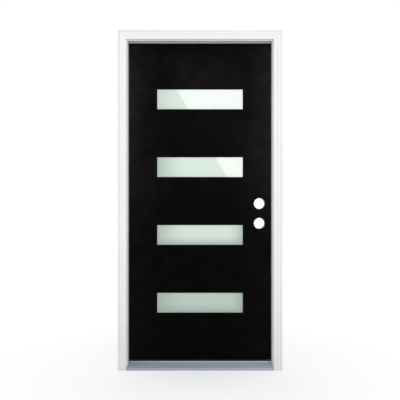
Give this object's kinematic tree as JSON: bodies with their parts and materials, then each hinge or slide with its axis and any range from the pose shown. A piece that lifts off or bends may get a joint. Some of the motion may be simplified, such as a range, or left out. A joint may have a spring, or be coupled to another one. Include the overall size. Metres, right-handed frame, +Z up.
{
  "type": "prehung inswing entrance door",
  "caption": "Flush black entrance door with narrow frosted lites and lock bores, hinged in a white rabbeted frame with brickmould, weatherstrip and an aluminium sill.",
  "frame": {"origin": "on the sill's underside, midway between the jambs, in the plane of the jambs' outdoor edges", "axes": "+X to the right seen from outdoors, +Y indoors, +Z up"},
  "size_m": [1.013, 0.1649, 2.0985],
  "materials": {
    "jamb_paint": "primed pine, satin white",
    "moulding_paint": "satin cool white",
    "seal_foam": "soft white foam skin",
    "sill_aluminium": "brushed, blue-grey",
    "sill_substrate": "moulded composite",
    "sill_composite": "dark grained composite",
    "slab_paint": "satin black on smooth fibreglass",
    "stile_wood": "bare pine",
    "core_foam": "cut foam",
    "sweep_rubber": "matt black",
    "satin_glass": "satin etched, pale green",
    "spacer_metal": "mill finish",
    "hinge_metal": "satin zinc plate"
  },
  "bodies": {
    "frame": {"brickmould_head": "moulding_paint", "brickmould_hinge_side": "moulding_paint", "brickmould_strike_side": "moulding_paint", "head_jamb": "jamb_paint", "hinge_bottom_jamb_leaf": "hinge_metal", "hinge_bottom_pin": "hinge_metal", "hinge_jamb": "jamb_paint", "hinge_middle_jamb_leaf": "hinge_metal", "hinge_middle_pin": "hinge_metal", "hinge_top_jamb_leaf": "hinge_metal", "hinge_top_pin": "hinge_metal", "sill_base": "sill_substrate", "sill_cap": "sill_composite", "sill_tread": "sill_aluminium", "strike_jamb": "jamb_paint", "weatherstrip_head": "seal_foam", "weatherstrip_hinge_side": "seal_foam", "weatherstrip_strike_side": "seal_foam"},
    "leaf": {"bottom_rail": "stile_wood", "door_skin_exterior": "slab_paint", "door_skin_interior": "slab_paint", "door_sweep": "sweep_rubber", "foam_core": "core_foam", "hinge_bottom_door_leaf": "hinge_metal", "hinge_middle_door_leaf": "hinge_metal", "hinge_stile": "stile_wood", "hinge_top_door_leaf": "hinge_metal", "lite_1_frame": "spacer_metal", "lite_1_inner_pane": "satin_glass", "lite_1_outer_pane": "satin_glass", "lite_2_frame": "spacer_metal", "lite_2_inner_pane": "satin_glass", "lite_2_outer_pane": "satin_glass", "lite_3_frame": "spacer_metal", "lite_3_inner_pane": "satin_glass", "lite_3_outer_pane": "satin_glass", "lite_4_frame": "spacer_metal", "lite_4_inner_pane": "satin_glass", "lite_4_outer_pane": "satin_glass", "lock_block": "stile_wood", "lock_stile_lower": "stile_wood", "lock_stile_upper": "stile_wood", "top_rail": "stile_wood"}
  },
  "joints": [
    {"name": "door_swing", "type": "hinge", "parent": "frame", "child": "leaf", "pos_m": [-0.4595, 0.1265, 1], "axis": [0, 0, 1], "range_deg": [0, 120]}
  ]
}
